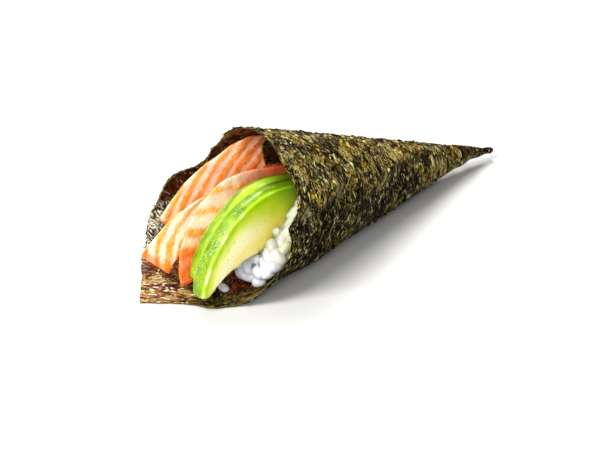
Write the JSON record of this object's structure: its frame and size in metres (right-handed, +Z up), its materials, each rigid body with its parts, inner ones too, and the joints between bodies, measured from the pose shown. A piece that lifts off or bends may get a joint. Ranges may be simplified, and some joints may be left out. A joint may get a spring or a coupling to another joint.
{
  "type": "temaki hand roll",
  "caption": "Cone-shaped sushi hand roll lying on its side: a sheet of nori rolled round rice, with slices of salmon and avocado spilling from the open mouth.",
  "frame": {"origin": "on the table under the middle of the roll's bounding box", "axes": "+X from the open mouth to the pointed tip, -Y towards the side that shows the cut faces, +Z up"},
  "size_m": [0.139, 0.049, 0.0386],
  "materials": {
    "nori": "satin",
    "rice": "satin",
    "salmon": "gloss",
    "avocado": "satin"
  },
  "bodies": {
    "root": {"nori_sheet": "nori", "rice": "rice", "avocado_slice_1": "avocado", "avocado_slice_2": "avocado", "salmon_slice_1": "salmon", "salmon_slice_2": "salmon", "salmon_slice_3": "salmon"}
  },
  "joints": []
}
